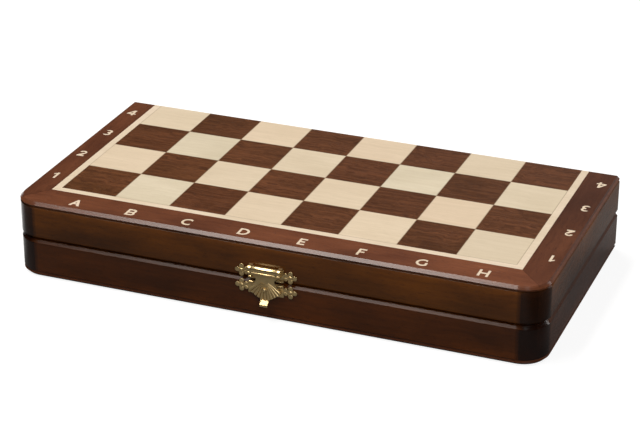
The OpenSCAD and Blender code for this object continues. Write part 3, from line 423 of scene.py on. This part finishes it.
painted_edge_light = maths(groove, "MULTIPLY", below_groove, along_bottom)
groove.links.new(maths(groove, "MULTIPLY", from_seam_up, painted_edge_light), out["Painted Light"])
print("groove", round(groove_height / mm, 2), "mm from the seam")

# %% [markdown]
# The border is a mitred frame: its front strip has the grain along the front, and its side strips have it
# from front to back. The mitre runs from the corner of the pale line to the corner of the case. The group
# turns the grain beyond it, by swapping the two directions. A Mix node set to vectors takes them in at
# sockets 4 and 5, and the result comes out at 1.

# %% The mitre group
line_low, line_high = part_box("upper_stringing")
mitre, given, out = start_group("mitre", [("Vector", "Vector")],
                                [("Vector", "Vector"), ("Tone", "Float"), ("Joint", "Float")])
corner = put(mitre, "SeparateXYZ", {"Vector": given["Vector"]}).outputs
from_middle = maths(mitre, "SUBTRACT", corner["X"], (line_low.x + line_high.x) / 2)
right_side = maths(mitre, "GREATER_THAN", from_middle, 0.0)
left_slope = (line_low.y - case_front) / (case_side + line_low.x)
right_slope = (line_low.y - case_front) / (case_side - line_high.x)
mitre_slope = spread(mitre, right_side, 0, 1, left_slope, right_slope)
past_side = maths(mitre, "SUBTRACT", maths(mitre, "ABSOLUTE", from_middle), (line_high.x - line_low.x) / 2)
past_front = maths(mitre, "SUBTRACT", line_low.y, corner["Y"])
beyond = maths(mitre, "SUBTRACT", maths(mitre, "MULTIPLY", past_side, mitre_slope), past_front)
in_side = maths(mitre, "GREATER_THAN", beyond, 0.0)
crossed = put(mitre, "CombineXYZ", {"X": corner["Y"], "Y": corner["X"], "Z": corner["Z"]}).outputs[0]
strip = put(mitre, "Mix", {"Factor": in_side}, data_type="VECTOR")
mitre.links.new(given["Vector"], strip.inputs[4])
mitre.links.new(crossed, strip.inputs[5])
mitre.links.new(strip.outputs[1], out["Vector"])
mitre.links.new(spread(mitre, maths(mitre, "ABSOLUTE", beyond), 0.3 * mm, 0.1 * mm), out["Joint"])
print("mitres from", round(line_low.x / mm, 1), "and", round(line_high.x / mm, 1))

# %% [markdown]
# The strips of the border come from three sheets, so each has its own tone. Over that the group paints
# light, brightest towards the front right corner: the front strip grows paler to the right, and the right
# one darker to the back.

# %% The tone and painted light of each strip
# Painted light: brighter towards the front right corner, over each strip's own tone.
right_tone_and_light = spread(mitre, corner["Y"], case_front, 0, 1.1, 0.62)
side_tone_and_light = spread(mitre, right_side, 0, 1, 0.86, right_tone_and_light)
front_tone_and_light = spread(mitre, corner["X"], -case_side, case_side, 0.98, 1.3)
mitre.links.new(spread(mitre, in_side, 0, 1, front_tone_and_light, side_tone_and_light), out["Tone"])
print("mitre group:", len(mitre.nodes), "nodes")

# %% [markdown]
# Some woods have more than grain. The squares have their tone, their warmth and the glue at their edge.
# The border has the tone of each strip, the painted light over the strips and the line of the mitre. The
# rails have painted shade at the groove, painted light along their edges, and painted shade on their
# rounded corners, which makes those almost black. The corners are found by their normals, which point
# between the front and the side. The first three helpers place a group, tell which way the surface faces,
# and lay one tone over another. The last three each take a wood's tone so far and give the new one.

# %% What only some woods have
def use(tree, group, inputs):
    return put(tree, "Group", inputs, node_tree=group).outputs


def facing(tree):
    """Which way the surface faces, along each axis."""
    return put(tree, "SeparateXYZ", {"Vector": put(tree, "TexCoord").outputs["Normal"]}).outputs


def lay_tone(tree, base, mask, strength, tone):
    """Lays a tone over another one, as strongly as the mask says, times the strength."""
    return mix(tree, maths(tree, "MULTIPLY", mask, strength), base, colour(*tone))


def square_tones(tree, base, square_of, tone_share, warm):
    shade = spread(tree, square_of["Tone"], 0, 1, 1 - tone_share, 1 + tone_share)
    return lay_tone(tree, times(tree, base, grey(tree, shade)), square_of["Warmth"], 0.6, warm)


def strip_tones_and_light(tree, base, strip_of, pore):
    return lay_tone(tree, times(tree, base, grey(tree, strip_of["Tone"])), strip_of["Joint"], 0.6, pore)


def rail_tones(tree, base, edges, pore):
    normal = facing(tree)
    rounded = maths(tree, "ABSOLUTE", maths(tree, "MULTIPLY", normal["X"], normal["Y"]))
    # Painted shade: the rounded corners, found by normals between front and side, are darkened.
    painted_corner_shade = mix(tree, spread(tree, rounded, 0.03, 0.15), (1, 1, 1, 1), (0.2, 0.18, 0.3, 1))
    # Painted light from the groove group, laid over the wood.
    with_painted_light_and_shade = times(tree, times(tree, base, painted_corner_shade), grey(tree, edges["Painted Light"]))
    # Painted shade beside the groove, in the wood's pore colour.
    return lay_tone(tree, with_painted_light_and_shade, edges["Painted Shade"], 0.75, pore)


print("squares, strips and rails have their own tones")

# %% [markdown]
# With these ready, a wood is a few colours and a direction. The darkest and palest tone are mixed by the
# drift, the lines darken it a little, and the pores put in the dashes. Pieces that run from front to back
# have the pattern turned by 90 degrees, as their grain does. A coat of lacquer lies over all of it, thinner
# on the flat of the board than on its edge.

# %% A wood from its tones
def wood(name, dark, pale, pore, turned=False, by_square=False, wander=4 * mm, line_share=0.3,
         pore_share=0.5, roughness=0.3, tone_share=0.0, warm=None, shine=0.3, edge_shine=None,
         grooved=0.0, mitred=False):
    """A wood from its darkest and palest tone and the tone of its pores. A share is a strength up to 1."""
    material, tree, shader = finish(name, Coat_Weight=shine, Coat_Roughness=0.2, Specular_IOR_Level=0.02)
    on_case = put(tree, "TexCoord").outputs["Object"]
    place = on_case
    if turned:
        place = put(tree, "Mapping", {"Vector": place, "Rotation": (0, 0, math.pi / 2)}).outputs[0]
    if by_square:
        square_of = use(tree, tiles, {"Vector": place})
        place = square_of["Vector"]
    if mitred:
        strip_of = use(tree, mitre, {"Vector": place})
        place = strip_of["Vector"]
    pattern = use(tree, grain, {"Vector": place, "Wander": wander})
    base = mix(tree, pattern["Drift"], colour(*dark), colour(*pale))
    if by_square:
        base = square_tones(tree, base, square_of, tone_share, warm)
    base = lay_tone(tree, base, maths(tree, "SUBTRACT", 1.0, pattern["Lines"]), line_share, pore)
    base = lay_tone(tree, base, pattern["Pores"], pore_share, pore)
    if by_square:
        base = lay_tone(tree, base, square_of["Joint"], 0.45, (118, 92, 66))
    if mitred:
        base = strip_tones_and_light(tree, base, strip_of, pore)
    if edge_shine:
        flat = maths(tree, "ABSOLUTE", facing(tree)["Z"])
        tree.links.new(spread(tree, flat, 0.8, 0.95, edge_shine, shine), shader.inputs["Coat Weight"])
    if grooved:
        edges = use(tree, groove, {"Vector": on_case, "Strength": grooved})
        base = rail_tones(tree, base, edges, pore)
        tree.links.new(spread(tree, edges["Bare"], 0, 1, shine, 0), shader.inputs["Coat Weight"])
    coat = use(tree, lacquer, {"Vector": place, "Lines": pattern["Lines"], "Pores": pattern["Pores"],
                               "Roughness": roughness})
    tree.links.new(base, shader.inputs["Base Color"])
    tree.links.new(coat["Roughness"], shader.inputs["Roughness"])
    tree.links.new(coat["Normal"], shader.inputs["Normal"])
    return material


print("woods can be mixed")

# %% [markdown]
# The rails are of dark stained beech with a gloss lacquer, and those of the lower half are a trace redder.
# The painted shade in the grooves and the painted light along the edges are full on the front, and weak on
# the sides.

# %% Woods of the rails
# The pore tone of the rails is also the colour of their painted shade beside the groove.
rail_lacquer = {"pore": (34, 16, 5), "line_share": 0.35, "pore_share": 0.4, "shine": 0.9}
rail_colours = {"upper": {"dark": (72, 37, 7), "pale": (105, 57, 10)},
                "lower": {"dark": (70, 33, 6), "pale": (101, 49, 9)}}
rail_woods = {}
for half, tones in rail_colours.items():
    rail_woods[half] = wood(half + "_rail_wood", grooved=1.0, **tones, **rail_lacquer)
    rail_woods[half + "_side"] = wood(half + "_rail_wood_side", turned=True, grooved=0.25,
                                      **tones, **rail_lacquer)
print("rails:", list(rail_woods))

# %% [markdown]
# The playing face has four woods, as the photo shows them: a red-brown border, dark squares of a browner
# veneer, cream squares, and a paler cream line around them, which the letters and numbers are cut from
# too. The lacquer on the flat of the board is rubbed down, so it shines less than on the rails. The edge of
# the thin board below is stained like the border, and keeps its gloss.

# %% Woods of the playing face
polish = {"roughness": 0.35, "shine": 0.2}
border_wood = wood("red_brown_border_wood", (92, 53, 36), (122, 73, 49), (58, 28, 18), mitred=True,
                   line_share=0.35, pore_share=0.6, wander=6 * mm, edge_shine=0.9, **polish)
dark_squares = wood("dark_square_wood", (96, 60, 35), (119, 74, 47), (54, 29, 15), by_square=True,
                    tone_share=0.12, warm=(109, 65, 43), line_share=0.8, pore_share=0.6, wander=12 * mm,
                    **polish)
light_squares = wood("light_square_wood", (208, 196, 171), (222, 210, 186), (190, 169, 137), by_square=True,
                     tone_share=0.06, warm=(232, 204, 176), line_share=0.25, pore_share=0.25, **polish)
line_wood = wood("pale_line_wood", (222, 204, 178), (234, 216, 194), (196, 171, 142), line_share=0.25,
                 pore_share=0.2, **polish)
board_edge = wood("stained_board_edge", (96, 54, 34), (120, 70, 44), (58, 28, 18), shine=0.9)
print("face:", border_wood.name, dark_squares.name, light_squares.name, line_wood.name, board_edge.name)

# %% [markdown]
# The men are turned from a pale close-grained wood. One side keeps its colour and the other is stained
# dark. They lie along the depth of the case, and so does their grain.

# %% Woods of the men
pale_men = wood("pale_turned_wood", (206, 164, 104), (224, 188, 130), (168, 120, 68), turned=True,
                line_share=0.35, pore_share=0.3)
dark_men = wood("dark_turned_wood", (66, 34, 20), (92, 50, 30), (34, 16, 10), turned=True,
                line_share=0.4, pore_share=0.4)
print("men:", pale_men.name, dark_men.name)

# %% [markdown]
# ## Metal and felt
#
# The clasp, hinges, nails and screws are brass. It is polished on top and browned where a cloth doesn't
# reach. Ambient occlusion finds those recesses, and slow clouds of noise break up the polish. Fingers keep
# the barrel of the clasp brighter than its flat plates, as the sharp line of light along it shows, so the
# group also marks what lies close to the clasp's pin.

# %% The tarnish group
pin_low, pin_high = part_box("clasp_pin")
pin_middle = (pin_low + pin_high) / 2
tarnish, given, out = start_group(
    "tarnish", [("Vector", "Vector"), ("Reach", "Float")],
    [("Amount", "Float"), ("Clouds", "Float"), ("Polished", "Float")])
nearby = put(tarnish, "AmbientOcclusion", {"Distance": given["Reach"]}, samples=8)
tarnish.links.new(spread(tarnish, nearby.outputs["AO"], 0.25, 0.8, 1.0, 0.0), out["Amount"])
patches = stretched(tarnish, given["Vector"], 420, 420, detail=3)
tarnish.links.new(spread(tarnish, patches, 0.35, 0.7), out["Clouds"])
spot = put(tarnish, "SeparateXYZ", {"Vector": given["Vector"]}).outputs
from_axis = [maths(tarnish, "POWER", maths(tarnish, "SUBTRACT", spot[axis], middle), 2)
             for axis, middle in (("Y", pin_middle.y), ("Z", pin_middle.z))]
from_pin = maths(tarnish, "SQRT", maths(tarnish, "ADD", from_axis[0], from_axis[1]))
tarnish.links.new(spread(tarnish, from_pin, 2.3 * mm, 1.9 * mm), out["Polished"])
print("tarnish group:", len(tarnish.nodes), "nodes")

# %% [markdown]
# A thin dull film on old brass scatters a little of the light, so it isn't wholly metallic. The boss and
# the turned edges of the clasp stick out and are rubbed, and the same brass is smoother there.

# %% Brass
def brass_finish(name, roughness):
    material, tree, shader = finish(name, Metallic=0.86)
    age = use(tree, tarnish, {"Vector": put(tree, "TexCoord").outputs["Object"], "Reach": 0.7 * mm})
    recesses = maths(tree, "MULTIPLY", age["Amount"], 0.85)
    amount = maths(tree, "ADD", recesses, maths(tree, "MULTIPLY", age["Clouds"], 0.15))
    tree.links.new(mix(tree, amount, colour(240, 211, 154), colour(126, 94, 54)),
                   shader.inputs["Base Color"])
    dull = spread(tree, amount, 0, 1, roughness, roughness + 0.3)
    rubbed = spread(tree, age["Polished"], 0, 1, 1, 0.35)
    tree.links.new(maths(tree, "MULTIPLY", dull, rubbed), shader.inputs["Roughness"])
    return material


brass = brass_finish("aged_brass", 0.4)
rubbed_brass = brass_finish("rubbed_brass", 0.18)
print("brass:", brass.name, rubbed_brass.name)

# %% [markdown]
# Steel and nickel show only where a man lifts out or the veneer is off, but every piece gets its finish.
# The rolled sheet has fine scratches, and the plated magnets have coarser ones.

# %% Steel and nickel
def metal_finish(name, tone, roughness, scratches_across):
    material, tree, shader = finish(name, Metallic=1.0)
    scratches = stretched(tree, put(tree, "TexCoord").outputs["Object"], 60, scratches_across, detail=3)
    darker = colour(*[0.8 * c for c in tone])
    tree.links.new(mix(tree, scratches, colour(*tone), darker), shader.inputs["Base Color"])
    tree.links.new(spread(tree, scratches, 0.3, 0.7, roughness, roughness + 0.15), shader.inputs["Roughness"])
    return material


steel = metal_finish("rolled_steel", (176, 176, 178), 0.35, 4000)
nickel = metal_finish("nickel_plate", (196, 194, 188), 0.2, 900)
print("metals:", steel.name, nickel.name)

# %% [markdown]
# The racks are flocked and the bottom of the case is lined with felt. Both are short dense fibres: no
# gloss, a soft edge in the fibres' own colour where they catch the light, and a fine mottle.

# %% Felt
def felt(name, deep, lit, fibres_a_metre):
    material, tree, shader = finish(name, Roughness=0.95, Sheen_Weight=0.35, Sheen_Roughness=0.5,
                                    Sheen_Tint=colour(*lit), Specular_IOR_Level=0.1)
    place = put(tree, "TexCoord").outputs["Object"]
    fibres = stretched(tree, place, fibres_a_metre, fibres_a_metre, detail=4, roughness=0.7)
    nap = stretched(tree, place, 45, 45, detail=2)
    tone = maths(tree, "ADD", maths(tree, "MULTIPLY", fibres, 0.6), maths(tree, "MULTIPLY", nap, 0.4))
    mottle = mix(tree, spread(tree, tone, 0.35, 0.65), colour(*deep), colour(*lit))
    tree.links.new(mottle, shader.inputs["Base Color"])
    bump = put(tree, "Bump", {"Strength": 0.5, "Distance": 0.2 * mm, "Height": fibres})
    tree.links.new(bump.outputs[0], shader.inputs["Normal"])
    return material


rack_felt = felt("burgundy_flock", (74, 14, 18), (112, 26, 30), 1500)
tray_felt = felt("burgundy_felt", (70, 12, 16), (104, 24, 28), 1100)
base_felt = felt("green_felt", (20, 58, 34), (36, 84, 50), 1500)
print("felts:", rack_felt.name, tray_felt.name, base_felt.name)

# %% [markdown]
# Each measured part now gets its finish by its name. The rails of each half are two woods, one along the
# front and the back and one along the sides. The men are all that is left at the end.

# %% Give the parts their finishes
by_ending = {
    "backing_board": board_edge, "steel_sheet": steel,
    "dark_squares": dark_squares, "light_squares": light_squares, "stringing": line_wood,
    "border_veneer": border_wood, "coordinates": line_wood, "officer_rack": rack_felt,
    "pawn_rack": rack_felt, "felt_lining": tray_felt, "base_felts": base_felt, "base_magnets": nickel,
}
for node_name, part in parts.items():
    side, _, ending = node_name.partition("_")
    if "hinge" in node_name or "clasp" in node_name:
        material = brass
    elif ending in ("front_rail", "back_rail"):
        material = rail_woods[side]
    elif ending in ("left_rail", "right_rail"):
        material = rail_woods[side + "_side"]
    elif ending in by_ending:
        material = by_ending[ending]
    else:
        material = pale_men if side == "white" else dark_men
    part.data.materials.clear()
    part.data.materials.append(material)
print("dressed", len(parts), "parts")

# %% [markdown]
# ## Clasp
#
# The clasp is stamped from thin brass sheet. Stamped edges are never sharp: the die draws them round, and
# that rounding is what catches the lamp. The measured plates have sharp edges, so a weld and a bevel are
# laid over them as modifiers, which leave the measured shape below as it is.

# %% Round the stamped edges
for node_name in ("clasp_upper_plate", "clasp_lower_plate", "clasp_hasp"):
    weld = parts[node_name].modifiers.new("weld", "WELD")
    weld.merge_threshold = 0.002 * mm
    bevel = parts[node_name].modifiers.new("soft_edges", "BEVEL")
    bevel.width = 0.22 * mm
    bevel.segments = 3
    bevel.limit_method = "ANGLE"
    bevel.angle_limit = math.radians(35)
    bevel.use_clamp_overlap = True
print("clasp edges rounded")

# %% [markdown]
# Places on the clasp are given from its middle: across, up from the seam, and out from the case, where the
# face of the plates is one thickness of the sheet out. The heights of the plates are read from the lower
# plate and from the nails of the upper one, because the upper plate has ears and its box is higher than
# its strip.

# %% Places on the clasp
clasp_x = pin_middle.x
barrel_out = case_front - pin_middle.y
barrel_up = pin_middle.z - seam_z
plate_face = 0.6 * mm


def on_clasp(across, up, out):
    return Vector((clasp_x + across, case_front - out, seam_z + up))


def middle_up(node_name):
    low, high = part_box(node_name)
    return (low.z + high.z) / 2 - seam_z


upper_plate_up = middle_up("clasp_upper_nails")
lower_plate_up = middle_up("clasp_lower_plate")
print("barrel", round(barrel_up / mm, 2), "mm up and", round(barrel_out / mm, 2), "mm out")

# %% [markdown]
# The relief on the plates is made of small domes. A dome is the front half of a ball, pressed flat. It is
# cut from a sphere, so its rim is round and lies on the plate.

# %% A dome on the front of the case
def dome(across, up, radius, rise, out):
    bpy.ops.object.select_all(action="DESELECT")
    bpy.ops.mesh.primitive_uv_sphere_add(
        segments=20, ring_count=12, radius=radius, location=on_clasp(across, up, out))
    ball = bpy.context.object
    ball.scale = (1, rise / radius, 1)
    bpy.ops.object.transform_apply(location=True, rotation=True, scale=True)
    bpy.ops.object.mode_set(mode="EDIT")
    bpy.ops.mesh.select_all(action="SELECT")
    bpy.ops.mesh.bisect(plane_co=on_clasp(0, 0, out), plane_no=(0, 1, 0), clear_outer=True)
    bpy.ops.object.mode_set(mode="OBJECT")
    bpy.ops.object.shade_smooth()
    return ball


print("domes can be made")

# %% [markdown]
# Domes that belong together are joined to one piece. It is brass, and it moves with the body that carries
# it: one half of the case, or the hasp.

# %% Join to a piece of brass
def relief(name, things, body, metal=brass):
    bpy.ops.object.select_all(action="DESELECT")
    for thing in things:
        thing.select_set(True)
    piece = things[0]
    bpy.context.view_layer.objects.active = piece
    if len(things) > 1:
        bpy.ops.object.join()
    piece.name = name
    piece.data.materials.clear()
    piece.data.materials.append(metal)
    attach(piece, body)


print("relief can be joined")

# %% [markdown]
# Each plate ends in a finial on both sides: three lobes, and a collar of two smaller beads between them and
# the plate. The photo is too small for the fine chasing on them, so the lobes stay plain. Their places and
# radii are in millimetres from the middle of the plate.

# %% Finials
bead_rise = 0.32 * mm
lobes = ((12.9, 2.1, 1.25), (12.9, -2.1, 1.25), (15.1, 0, 1.25), (10.4, 1.1, 1.0), (10.4, -1.1, 1.0))


def finials(name, plate_up, body):
    beads = [dome(side * across * mm, plate_up + up * mm, radius * mm, bead_rise, plate_face)
             for side in (-1, 1) for across, up, radius in lobes]
    relief(name, beads, body)


finials("upper_finial_relief", upper_plate_up, "upper_half")
finials("lower_finial_relief", lower_plate_up, "lower_half")
print("finials in relief, each with", len(lobes), "domes")

# %% [markdown]
# The hasp is held to its pin by rolling the sheet around it. The cut edge of the sheet ends the roll in
# front and low down, and shows as the second bright line in the photo, with a dark hollow above it. Such an
# edge is a round rod with blunt ends, half sunk into what carries it. The rod is a cylinder along the
# clasp, and the edges around its two ends are selected by their place and bevelled.

# %% A rod along the clasp
def rod(left, right, up, out, radius):
    bpy.ops.object.select_all(action="DESELECT")
    bpy.ops.mesh.primitive_cylinder_add(
        vertices=24, radius=radius, depth=right - left, location=on_clasp((left + right) / 2, up, out),
        rotation=(0, math.pi / 2, 0))
    bar = bpy.context.object
    bpy.ops.object.transform_apply(location=True, rotation=True, scale=True)
    bpy.context.tool_settings.mesh_select_mode = (False, True, False)
    for vertex in bar.data.vertices:
        vertex.select = False
    for edge in bar.data.edges:
        start, stop = (bar.data.vertices[v].co.x for v in edge.vertices)
        edge.select = abs(start - stop) < 0.001 * mm
    for face in bar.data.polygons:
        face.select = abs(face.normal.x) > 0.9
    bpy.ops.object.mode_set(mode="EDIT")
    bpy.ops.mesh.bevel(offset=0.5 * radius, segments=3)
    bpy.ops.object.mode_set(mode="OBJECT")
    bpy.ops.object.shade_smooth_by_angle(angle=math.radians(50))
    return bar


def rod_pair(middle, half, up, out, radius):
    """One rod on each side of the clasp."""
    return [rod(side * middle - half, side * middle + half, up, out, radius) for side in (-1, 1)]


print("rods can be made")

# %% [markdown]
# The ears are rolled the same way as the hasp, and the edges of the plates are turned over beside it. The
# roll of the hasp swings with it, and the others stay with their half of the case.

# %% Rolled and turned edges
hasp_half = 6.5 * mm
roll_up = barrel_up - 1.2 * mm
roll_out = barrel_out + 1.5 * mm
roll = 0.6 * mm
turned_out = 0.9 * mm
relief("hasp_roll_edge", [rod(-hasp_half, hasp_half, roll_up, roll_out, roll)], "clasp_hasp")
relief("ear_roll_edges", rod_pair(7.75 * mm, 0.85 * mm, roll_up, roll_out, roll), "upper_half")
relief("upper_plate_turned_edge", rod_pair(7.4 * mm, 1.8 * mm, 1.6 * mm, turned_out, 0.6 * mm),
       "upper_half", rubbed_brass)
relief("lower_plate_turned_edge", rod_pair(7.7 * mm, 1.5 * mm, -1.1 * mm, turned_out, 0.65 * mm),
       "lower_half", rubbed_brass)
print("rolled edge", round(2 * hasp_half / mm, 1), "mm long on the hasp")

# %% [markdown]
# The catch of the lower plate presses a boss out of the hasp. In the photo it shows as a bright dot, so it
# is domed. The measured boss is flat, and the dome is its cap.

# %% The cap of the boss
boss_out = 2.69 * mm
relief("boss_cap", [dome(0, lower_plate_up, 1.0 * mm, 0.75 * mm, boss_out)], "clasp_hasp", rubbed_brass)
print("boss", round(lower_plate_up / mm, 2), "mm from the seam")
